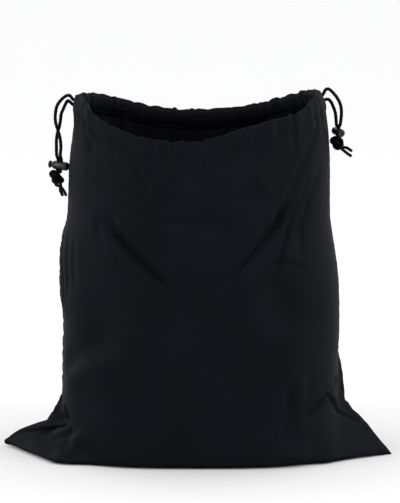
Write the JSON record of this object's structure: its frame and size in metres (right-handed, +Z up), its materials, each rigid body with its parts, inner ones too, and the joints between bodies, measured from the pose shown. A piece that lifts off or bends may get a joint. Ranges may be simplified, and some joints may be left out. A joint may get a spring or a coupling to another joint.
{
  "type": "helmet bag",
  "caption": "Open-mouthed drawstring bag of thin black cloth for a helmet, standing filled out on its flat base, with a corded casing round the mouth and spring cord locks.",
  "frame": {"origin": "middle of the bag's base, on the floor", "axes": "+X along the bag's width to its right seam, +Y to its back, +Z up to the mouth"},
  "size_m": [0.4288, 0.2158, 0.4022],
  "materials": {
    "cloth": "satin",
    "cord": "matte",
    "lock_plastic": "gloss"
  },
  "bodies": {
    "root": {"front_panel": "cloth", "back_panel": "cloth", "left_drawcord": "cord", "right_drawcord": "cord", "left_knot": "cord", "right_knot": "cord", "left_lock_barrel": "lock_plastic", "right_lock_barrel": "lock_plastic"},
    "left_button": {"left_lock_plunger": "lock_plastic"},
    "right_button": {"right_lock_plunger": "lock_plastic"}
  },
  "joints": [
    {"name": "left_lock_press", "type": "slide", "parent": "root", "child": "left_button", "axis": [0.9354, -0.3404, -0.0958], "range_m": [0, 0.0025], "stiffness_N_per_m": 400},
    {"name": "right_lock_press", "type": "slide", "parent": "root", "child": "right_button", "axis": [0.2587, -0.9653, -0.0349], "range_m": [0, 0.0025], "stiffness_N_per_m": 400}
  ]
}
